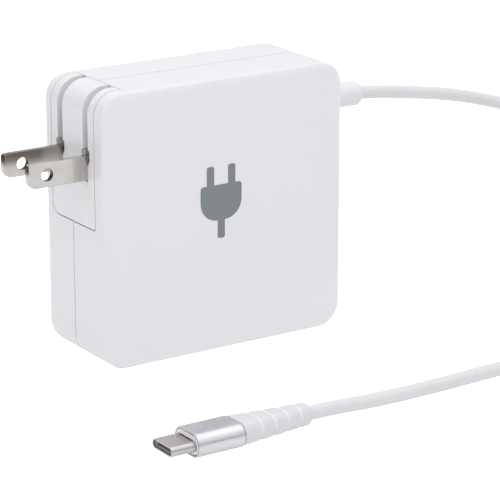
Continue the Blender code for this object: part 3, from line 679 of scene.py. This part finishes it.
def make_world():
    """Even light from above and a dark band along the horizon, for the metal to reflect."""
    world = bpy.data.worlds.new("studio")
    world.use_nodes = True
    bpy.context.scene.world = world
    tree = world.node_tree
    place = tree.nodes.new("ShaderNodeTexCoord")
    split = tree.nodes.new("ShaderNodeSeparateXYZ")
    ramp = tree.nodes.new("ShaderNodeValToRGB")
    tree.links.new(place.outputs["Generated"], split.inputs[0])
    tree.links.new(split.outputs["Z"], ramp.inputs["Fac"])
    tree.links.new(ramp.outputs["Color"], tree.nodes["Background"].inputs["Color"])
    # a little brighter from the front and the right
    lean = tree.nodes.new("ShaderNodeVectorMath")
    lean.operation = "DOT_PRODUCT"
    lean.inputs[1].default_value = (0.14, -0.05, 0.0)
    tree.links.new(place.outputs["Generated"], lean.inputs[0])
    strength = tree.nodes.new("ShaderNodeMath")
    strength.inputs[1].default_value = 1.0
    tree.links.new(lean.outputs["Value"], strength.inputs[0])
    tree.links.new(strength.outputs[0], tree.nodes["Background"].inputs["Strength"])
    # how bright each height is, by the sine of its elevation
    heights = [(0.0, 0.05), (0.11, 0.12), (0.22, 0.74), (0.5, 0.90), (1.0, 0.90)]
    elements = ramp.color_ramp.elements
    while len(elements) < len(heights):
        elements.new(0.5)
    for element, (place_at, level) in zip(elements, heights):
        element.position = place_at
        element.color = (level, level, level * 1.01, 1)


def make_floor():
    """A white ground. It glows a little, and twice as much to the camera as to the object."""
    floor = mesh_object("floor", box((-4000, -4000, -20), (4000, 4000, 0)))
    made = Nodes("floor")
    made.feed(
        Base_Color=made.mixed(made.noise(0.01), (0.51, 0.51, 0.51), (0.53, 0.53, 0.53)),
        Roughness=made.between(made.noise(0.05), 0.8, 0.95),
    )
    seen = made.add("ShaderNodeLightPath")
    glow = made.add("ShaderNodeMath", operation="MULTIPLY_ADD")
    made.link(seen.outputs["Is Camera Ray"], glow.inputs[0])
    glow.inputs[1].default_value = 0.5
    glow.inputs[2].default_value = 0.5
    made.feed(Emission_Strength=glow.outputs[0])
    made.set(Emission_Color=(1, 1, 1, 1), Specular_IOR_Level=0.1)
    floor.data.materials.append(made.material)


# ---------------------------------------------------------------- the cable


def coil_points(per_turn=40):
    """The coil's turns, wound from the top layer's outer turn down to the bottom one's.

    Each layer has its turns side by side. Every turn keeps its own radius and height until the
    crossover, where it steps aside to the next radius or drops to the next layer.
    """
    pitch = 2 * CORD_R
    outer = COIL_HIGH.x - COIL_CENTRE.x - CORD_R
    levels = []
    for layer in range(COIL_LAYERS):
        height = CORD_R + pitch * (COIL_LAYERS - 1 - layer)
        row = [(outer - pitch * turn, height) for turn in range(TURNS_PER_LAYER)]
        levels += row if layer % 2 == 0 else row[::-1]
    points = []
    steps = int(per_turn * COIL_TURNS)
    for i in range(steps + 1):
        turned_by = 360 * COIL_TURNS * i / steps
        turn = int(turned_by // 360)
        within = turned_by - 360 * turn
        here = levels[turn]
        there = levels[min(turn + 1, len(levels) - 1)]
        aside = smooth((within - 120) / 35)
        drop = smooth((within - 155) / 35)
        radius = here[0] + (there[0] - here[0]) * aside
        height = here[1] + (there[1] - here[1]) * drop
        height += 1.1 * smooth(1 - max(0.0, abs(within - 270) - 12) / 30)
        angle = -math.radians(turned_by)
        points.append(
            Vector(
                (
                    COIL_CENTRE.x + radius * math.cos(angle),
                    COIL_CENTRE.y + radius * math.sin(angle),
                    height,
                )
            )
        )
    return points


def make_cable():
    """One cord: down from the relief, round the coil, and along the floor to the boot."""
    lead = [
        (RELIEF_HIGH.x - 0.5, SEAM_Y, 57.95), (58.5, SEAM_Y, 57.3), (65.0, SEAM_Y, 56.4),
        (72.5, SEAM_Y, 55.2), (80.5, SEAM_Y, 53.8), (88.5, -0.4, 52.0), (96.5, -0.9, 49.8),
        (104.3, -1.8, 47.3), (111.8, -4.2, 43.8), (118.6, -8.2, 38.6), (124.2, -13.4, 32.2),
        (128.0, -19.6, 25.0), (129.8, -25.6, 19.0), (130.2, -29.8, 15.9), (130.2, -35.5, 13.4),
    ]
    low = CORD_R + 0.05
    tail = [
        (98.0, -70.2, low), (90.4, -70.2, low), (84.0, -70.3, low), (74.0, -70.4, low),
        (64.0, -70.6, low), (54.0, -70.9, low), (44.0, -71.3, low), (34.0, -71.8, low),
        (24.0, -72.2, low), (14.0, -72.5, 1.95), (4.0, -72.7, 2.2), (-5.0, -72.8, 2.7),
        (BOOT_END - 0.6, PLUG_CENTRE.y, 2.92),
    ]
    coil = coil_points()
    points = [
        *catmull_rom([*lead, coil[0], coil[1]], 6)[:-6],
        *coil[1:-1],
        *catmull_rom([coil[-1], *tail], 6),
    ]
    curve = bpy.data.curves.new("cable", "CURVE")
    curve.dimensions = "3D"
    curve.bevel_depth = CORD_R * MM
    curve.bevel_resolution = 6
    curve.use_fill_caps = True
    spline = curve.splines.new("POLY")
    spline.points.add(len(points) - 1)
    for target, point in zip(spline.points, points):
        target.co = (*(point * MM), 1.0)
    spline.use_smooth = True
    cable = bpy.data.objects.new("cable", curve)
    bpy.context.scene.collection.objects.link(cable)
    return finish_piece(
        cable, CABLE_WHITE, "root", "cable_white", "cable_lead", "cable_coil", "cable_tail"
    )


def make_tie():
    """A strap round the coil: wound once, with its end lapped over the outside."""
    low, high = corners("cable_tie")
    thickness = 1.0
    path = rectangle(low.y + 0.5, low.z + 0.5, high.y - 0.5, high.z - 0.5, 2.2, 12)
    lap = 10
    route = [*path[lap:], *path[: lap + 14]]
    middle = Vector(((low.y + high.y) / 2, (low.z + high.z) / 2))
    rings = []
    for i, (y, z) in enumerate(route):
        here = Vector((y, z))
        ahead = Vector(route[min(i + 1, len(route) - 1)])
        behind = Vector(route[max(i - 1, 0)])
        along = (ahead - behind).normalized()
        out = Vector((along.y, -along.x))
        if out.dot(here - middle) < 0:
            out = -out
        lifted = smooth((i - (len(route) - 22)) / 8) * (thickness + 0.05)
        half = thickness / 2 * (1 if 0 < i < len(route) - 1 else 0.6)
        section = ((low.x, -half), (low.x, half), (high.x, half), (high.x, -half))
        rings.append([(x, *(here + out * (lifted + side))) for x, side in section])
    tie = mesh_object("strap", loft(rings))
    settle(tie, 0.12)
    return finish_piece(tie, STRAP, "root", "cable_tie", "cable_tie")


# ---------------------------------------------------------------- the adapter's pieces


def inlet_outline(grow):
    half_x, half_y = 1.6 + grow, 6.2 + grow
    return rectangle(
        INLET_X - half_x, PLUG_Y - half_y, INLET_X + half_x, PLUG_Y + half_y, half_x - 0.05
    )


def make_shells():
    """Front and back shell: an inner lip on the front one laps the back one behind the seam."""
    beyond = 4.0
    lip = 0.9  # how far the lap steps into the wall
    recess = fillet(
        [
            (MODULE_FRONT - GAP, RECESS_FLOOR), (MODULE_BACK + GAP, RECESS_FLOOR),
            (MODULE_BACK + GAP, HEIGHT + beyond), (MODULE_FRONT - GAP, HEIGHT + beyond),
        ],
        [1.1, 3.3, 0, 0],
    )
    openings = [
        cavity(0.0, FRONT + WALL, BACK - WALL),
        prism(recess, "x", LEFT - beyond, RECESS_WALL),
        rod("x", (SEAM_Y, RELIEF_Z), RELIEF_R + GAP, RIGHT - WALL - 1, RIGHT + 1, 72),
        rod("x", (PLUG_Y, STUD_Z), 1.65, RECESS_WALL - 1, RECESS_WALL + LINING + 1),
        prism(inlet_outline(GAP), "z", RECESS_FLOOR - LINING - 1, RECESS_FLOOR + 1),
    ]
    low = (LEFT - beyond, SEAM_Y - GAP / 2, -beyond)
    high = (RIGHT + beyond, BACK + beyond, HEIGHT + beyond)
    behind_seam = mesh_object("behind_seam", box(low, high))
    boolean(behind_seam, "DIFFERENCE", cavity(lip, FRONT, SEAM_Y + LAP))
    settle(behind_seam)
    behind_seam.modifiers.clear()
    front = mesh_object("front_casing", body_block())
    boolean(front, "DIFFERENCE", *openings, behind_seam)
    settle(front, 0.16)
    finish_piece(front, WHITE, "root", "white_plastic", "front_shell")

    low = (LEFT - beyond, FRONT - beyond, -beyond)
    high = (RIGHT + beyond, SEAM_Y + GAP / 2, HEIGHT + beyond)
    back = mesh_object("back_casing", body_block())
    boolean(
        back, "DIFFERENCE",
        *openings, box(low, high), cavity(lip + GAP, FRONT, SEAM_Y + LAP + GAP),
    )
    settle(back, 0.16)
    finish_piece(back, WHITE, "root", "white_plastic", "back_shell")


def make_mark():
    """A plain plug pictogram, printed in grey on the front."""
    outline = fillet(
        [
            (-1.1, -9.6), (1.1, -9.6), (1.1, -4.8), (6.2, -4.8), (6.2, 4.6), (4.3, 4.6),
            (4.3, 9.6), (2.1, 9.6), (2.1, 4.6), (-2.1, 4.6), (-2.1, 9.6), (-4.3, 9.6),
            (-4.3, 4.6), (-6.2, 4.6), (-6.2, -4.8), (-1.1, -4.8),
        ],
        [0.5, 0.5, 0, 5.0, 0.9, 0, 0.6, 0.6, 0, 0, 0.6, 0.6, 0, 0.9, 5.0, 0],
        8,
    )
    centre = (-1.7, 39.9)
    placed = [(centre[0] + u, centre[1] + v) for u, v in outline]
    mark = mesh_object("printed_pictogram", prism(placed, "y", FRONT - 0.03, FRONT + 0.05))
    finish_piece(settle(mark), INK, "root", "white_plastic")


def make_strain_relief():
    inner = RIGHT - WALL - GAP
    end = RELIEF_HIGH.x
    profile = [
        (inner - 2.0, 4.4), (inner, 4.4), (inner, RELIEF_R), (RIGHT + 0.5, RELIEF_R),
        (RIGHT + 0.7, RELIEF_R - 0.12), (RIGHT + 1.0, RELIEF_R - 0.12),
        (RIGHT + 1.2, RELIEF_R), (end - 1.1, RELIEF_R + 0.3), (end - 0.25, 2.75), (end, 2.3),
        (end, CORD_R + 0.08), (end - 0.6, CORD_R + 0.03),
    ]
    relief = mesh_object("strain_relief", turned("x", (SEAM_Y, RELIEF_Z), profile, 96))
    settle(relief, 0.10, 2, 24)
    finish_piece(relief, RELIEF_WHITE, "root", "white_plastic", "cord_strain_relief")


def make_inlet():
    flange = box(
        (LEFT + WALL + GAP, PLUG_Y - 8.5, 31.9), (INLET_X + 3.2, PLUG_Y + 8.5, 33.9), 1.0, "z"
    )
    block = mesh_object("inlet", flange)
    boolean(block, "UNION", prism(inlet_outline(0.0), "z", 33.5, RECESS_FLOOR - 0.1))
    for place, y in INLET_YS.items():
        low, high = INLET_PINS[place]
        radius = (high.x - low.x) / 2
        boolean(block, "DIFFERENCE", rod("z", (INLET_X, y), radius + 0.2, 30.0, 40.0))
        profile = [(low.z, radius), (high.z - 0.8, radius)]
        for step in range(1, 7):
            arc = math.pi / 2 * step / 7
            profile.append((high.z - 0.8 + 0.8 * math.sin(arc), radius * math.cos(arc)))
        pin = mesh_object(f"contact_pin_{place}", turned("z", (INLET_X, y), profile, 40))
        finish_piece(settle(pin), NICKEL, "root", "nickel", f"inlet_pin_{place}")
    finish_piece(settle(block, 0.15), BLACK, "root", "black_plastic", "inlet_block")


def make_lock_stud():
    low, high = corners("lock_stud")
    head_r, stem_r = 2.6, 1.35
    inner = RECESS_WALL + LINING + GAP
    profile = [
        (low.x, head_r - 0.3), (low.x + 0.3, head_r), (low.x + 0.9, head_r),
        (low.x + 0.9, stem_r), (inner, stem_r), (inner, 3.2), (high.x, 3.2),
    ]
    stud = mesh_object("locking_stud", turned("x", (PLUG_Y, STUD_Z), profile))
    boolean(stud, "DIFFERENCE", box(
        (low.x - 1, PLUG_Y - 1.5, STUD_Z - 0.25), (low.x + 0.4, PLUG_Y + 1.5, STUD_Z + 0.25)
    ))
    finish_piece(settle(stud, 0.1), STEEL, "root", "steel", "lock_stud")


def blade_pocket(y):
    """The cuts round one blade: a shallow dish, the blade's passage, and the open pocket above."""
    bottom, top = POCKET_Z
    half = POCKET_WIDTH / 2
    passage = 0.79
    dish = [(y + half, top), (y - half, top)]
    for step in range(9):
        across = -1 + step / 4
        dish.append((y + half * across, bottom + 0.35 * across**2))
    opening = fillet(
        [
            (y - half, top), (y + half, top), (y + half, FACE_TOP + 1.6),
            (y + passage, FACE_TOP - 0.2), (y - passage, FACE_TOP - 0.2),
            (y - half, FACE_TOP + 1.6),
        ],
        [0, 0, 0.3, 0.5, 0.5, 0.3],
    )
    # its floor slopes down inwards, as the blade's root swings below it
    way_in = [
        (LEFT - 1, bottom + 1.16), (LEFT, bottom + 1.16), (FACE_BACK, bottom + 0.58),
        (LEFT + 1.5, bottom + 0.58), (LEFT + 1.5, FACE_TOP + 1), (LEFT - 1, FACE_TOP + 1),
    ]
    slot = SLOT_WIDTH / 2
    return [
        box((FACE_BACK, y - half, bottom), (COVER_LOW.x, y + half, top)),
        prism(dish, "x", LEFT - 1, LEFT + 0.08),
        prism(opening, "x", LEFT - 1, LEFT + 1.5),
        prism(way_in, "y", y - passage, y + passage),
        box((LEFT - 1, y - slot, top - 0.4), (MODULE_INNER + 1, y + slot, HEIGHT + 1)),
    ]


def make_plug_housing():
    outline = fillet(
        [
            (LEFT, MODULE_BOTTOM), (MODULE_INNER, MODULE_BOTTOM), (MODULE_INNER, HEIGHT),
            (LEFT, HEIGHT),
        ],
        [0, 0, 0, CORNER],
        24,
    )
    housing = mesh_object("plug_case", prism(outline, "y", MODULE_FRONT, MODULE_BACK))
    side_view = fillet(
        [
            (MODULE_FRONT, MODULE_BOTTOM), (MODULE_BACK, MODULE_BOTTOM),
            (MODULE_BACK, HEIGHT + 1), (MODULE_FRONT, HEIGHT + 1),
        ],
        [0.8, 3.0, 0, 0],
    )
    boolean(housing, "INTERSECT", prism(side_view, "x", LEFT - 1, MODULE_INNER + 1))
    far = MODULE_INNER + 1
    inner = COVER_LOW.x
    cuts = [
        box(
            (inner - GAP, COVER_LOW.y - GAP, COVER_LOW.z - GAP),
            (far, COVER_HIGH.y + GAP, COVER_HIGH.z + GAP),
        ),
        # the room between and beside the blades, where their link swings
        box((FACE_BACK, PLUG_Y - 8.35, 47.0), (inner, PLUG_Y + 8.35, 52.2)),
        rod("y", (PIVOT.x, PIVOT.z), PIN_HOLE_R, MODULE_FRONT - 1, MODULE_BACK - 0.8),
        box(
            (inner - GAP, PLUG_Y - HEAD_HALF, MODULE_BOTTOM - 1),
            (HEAD_CHANNEL_X, PLUG_Y + HEAD_HALF, COVER_LOW.z),
        ),
        box(
            (HEAD_CHANNEL_X - 0.5, PLUG_Y - NECK_HALF, MODULE_BOTTOM - 1),
            (far, PLUG_Y + NECK_HALF, COVER_LOW.z),
        ),
    ]
    for y in BLADE_YS.values():
        cuts += blade_pocket(y)
    for place, y in INLET_YS.items():
        cuts.append(rod("z", (INLET_X, y), 1.95, MODULE_BOTTOM - 1, 47.1))
        outside = BLADE_YS[place] - math.copysign(POCKET_WIDTH / 2, -y)
        low_y, high_y = sorted((y + math.copysign(1.1, -y), outside))
        cuts.append(box((LEFT + 1.2, low_y, 46.1), (LEFT + 5.1, high_y, 47.5)))
    boolean(housing, "DIFFERENCE", *cuts)
    settle(housing, 0.16)
    finish_piece(housing, WHITE, "plug_module", "white_plastic", "plug_housing")


def make_plug_cover():
    cover = mesh_object("plug_back_cover", box(COVER_LOW, COVER_HIGH))
    near, far = COVER_LOW.x - 1, MODULE_INNER + 1
    head_top, neck_top = STUD_Z + HEAD_HALF + GAP, STUD_Z + NECK_HALF + GAP
    boolean(
        cover, "DIFFERENCE",
        box((near, PLUG_Y - HEAD_HALF, 40), (HEAD_CHANNEL_X, PLUG_Y + HEAD_HALF, head_top)),
        box((near, PLUG_Y - NECK_HALF, 40), (far, PLUG_Y + NECK_HALF, neck_top)),
    )
    half = SLOT_WIDTH / 2
    for y in BLADE_YS.values():
        boolean(
            cover, "DIFFERENCE", box((near, y - half, 40), (SLOT_FLOOR_X, y + half, HEIGHT))
        )
    settle(cover, 0.12)
    finish_piece(cover, WHITE, "plug_module", "white_plastic", "plug_cover")


def make_blades():
    for place, (low, high) in BLADES.items():
        y, half = BLADE_YS[place], (high.y - low.y) / 2
        tip = low.x
        outline = fillet(
            [
                (tip + 0.5, low.z), (high.x, low.z), (high.x, high.z), (tip + 0.1, high.z),
                (tip, high.z - 1.6), (tip, low.z + 2.6),
            ],
            [2.2, 0.6, 1.2, 0.9, 1.5, 3.0],
        )
        blade = mesh_object(f"prong_{place}", prism(outline, "y", y - half, y + half))
        middle = (low.z + high.z) / 2
        boolean(
            blade, "DIFFERENCE",
            rod("y", (HOLE_X, middle), HOLE_R, y - 2, y + 2),
            rod("y", (PIVOT.x, PIVOT.z), PIN_HOLE_R, y - 2, y + 2),
        )
        settle(blade, 0.22, 3)
        finish_piece(blade, BLADE_NICKEL[place], "blades", "nickel", f"blade_{place}")


# ---------------------------------------------------------------- the connector's pieces


def oval(half_y, half_z, steps=15):
    """A slot-shaped outline across the connector's axis."""
    y, z = PLUG_CENTRE.y, PLUG_CENTRE.z
    radius = min(half_z, half_y) * 0.96
    return rectangle(y - half_y, z - half_z, y + half_y, z + half_z, radius, steps)


def make_boot():
    """The flexible boot: it tapers from the sleeve's oval to a round end, with four grooves."""
    start, end = SLEEVE_HIGH.x + 0.03, BOOT_END
    (start_y, start_z), (end_y, end_z) = (5.2, 2.83), (2.68, 2.62)
    grooves = [GROOVES[0] + GROOVES[1] * i for i in range(GROOVE_COUNT)]
    edges = [start, *grooves, end - 0.2]
    stations = [start + (end - start) * i / 150 for i in range(151)]
    rings = []
    for x in stations:
        t = (x - start) / (end - start)
        half_y = start_y + (end_y - start_y) * t
        half_z = start_z + (end_z - start_z) * t
        between = next(
            (x - a) / (b - a) for a, b in zip(edges, [*edges[1:], end + 9]) if x <= b
        )
        crown = 0.10 * math.sin(math.pi * max(0.0, min(1.0, between)))
        groove = sum(math.exp(-(((x - g) / 0.34) ** 2)) for g in grooves)
        rounded_end = 1 - math.sqrt(max(0.0, 1 - max(0.0, (x - (end - 0.8)) / 0.8) ** 2))
        inward = 0.24 * groove - crown + 0.65 * rounded_end
        rings.append([at("x", x, u, v) for u, v in oval(half_y - inward, half_z - inward)])
    boot = mesh_object("cable_boot", loft(rings))
    settle(boot)
    return finish_piece(boot, BOOT_WHITE, "root", "cable_white", "plug_boot")


def make_sleeve():
    outer, inner = (oval(SLEEVE_HALF.y - by, SLEEVE_HALF.z - by) for by in (0, SLEEVE_WALL))
    sleeve = mesh_object(
        "metal_sleeve", ring_prism(outer, inner, "x", SLEEVE_LOW.x, SLEEVE_HIGH.x)
    )
    settle(sleeve, 0.14, 3)
    return finish_piece(sleeve, ALUMINIUM, "root", "sleeve_aluminium", "plug_sleeve")


def make_collar():
    inset = SLEEVE_WALL + TRIM_GAP
    outer = oval(SLEEVE_HALF.y - inset, SLEEVE_HALF.z - inset)
    inner = oval(SHELL_Y + 0.04, SHELL_Z + 0.04)
    collar = mesh_object(
        "sleeve_collar",
        ring_prism(outer, inner, "x", SLEEVE_LOW.x - 0.03, SLEEVE_HIGH.x - 0.6),
    )
    settle(collar, 0.12)
    return finish_piece(collar, COLLAR_WHITE, "root", "cable_white", "plug_collar")


def make_connector_shell():
    """The connector's metal shell, with a round dimple on both broad sides."""
    outer, inner = (oval(SHELL_Y - by, SHELL_Z - by) for by in (0, SHELL_WALL))
    shell = mesh_object("metal_shell", ring_prism(outer, inner, "x", SHELL_LOW.x, SHELL_HIGH.x))
    for side in (-1, 1):
        surface = PLUG_CENTRE.z + side * SHELL_Z
        centre = (SLEEVE_LOW.x + 0.2, PLUG_CENTRE.y)
        boolean(shell, "DIFFERENCE", rod("z", centre, 2.6, surface - 0.16, surface + 0.2))
    settle(shell, 0.15, 4)
    return finish_piece(shell, STEEL, "root", "steel", "connector_shell")


def make_contacts():
    """The block in the connector's mouth, and a row of contact strips on each side of its slot."""
    front, back = SHELL_LOW.x + 0.6, corners("contact_carrier")[1].x
    inset = 0.42
    block = mesh_object(
        "contact_block", prism(oval(SHELL_Y - inset, SHELL_Z - inset), "x", front, back)
    )
    slot_low = (front - 1, PLUG_CENTRE.y - 3.1, PLUG_CENTRE.z - 0.36)
    slot_high = (front + 1.0, PLUG_CENTRE.y + 3.1, PLUG_CENTRE.z + 0.36)
    boolean(block, "DIFFERENCE", box(slot_low, slot_high))
    settle(block, 0.05)
    finish_piece(block, DARK_GREY, "root", "black_plastic", "contact_carrier")

    count, pitch = 12, 0.5
    points, faces = [], []
    for side in (-1, 1):
        for i in range(count):
            y = PLUG_CENTRE.y + (i - (count - 1) / 2) * pitch
            z = PLUG_CENTRE.z + side * 0.33
            strip = box((front + 0.3, y - 0.12, z - 0.05), (front + 1.1, y + 0.12, z + 0.05))
            faces += [tuple(len(points) + k for k in face) for face in strip[1]]
            points += strip[0]
    strips = mesh_object("contact_strips", (points, faces))
    strips.data.shade_smooth()
    return [block, finish_piece(strips, GOLD, "root", "steel")]


# ---------------------------------------------------------------- assembly

make_camera()
cable = make_cable()
dress_cad_nodes()
make_world()
area_light("overhead", (-0.05, -0.10, 0.95), (0.0, -0.02, 0.03), (1.7, 1.7), 5.4)
make_floor()
bpy.context.scene.view_settings.view_transform = "Standard"

tie = make_tie()
boot = make_boot()
connector = [make_sleeve(), make_collar(), make_connector_shell(), *make_contacts()]

make_shells()
make_mark()
make_strain_relief()
make_inlet()
make_lock_stud()
make_plug_housing()
make_plug_cover()
make_blades()
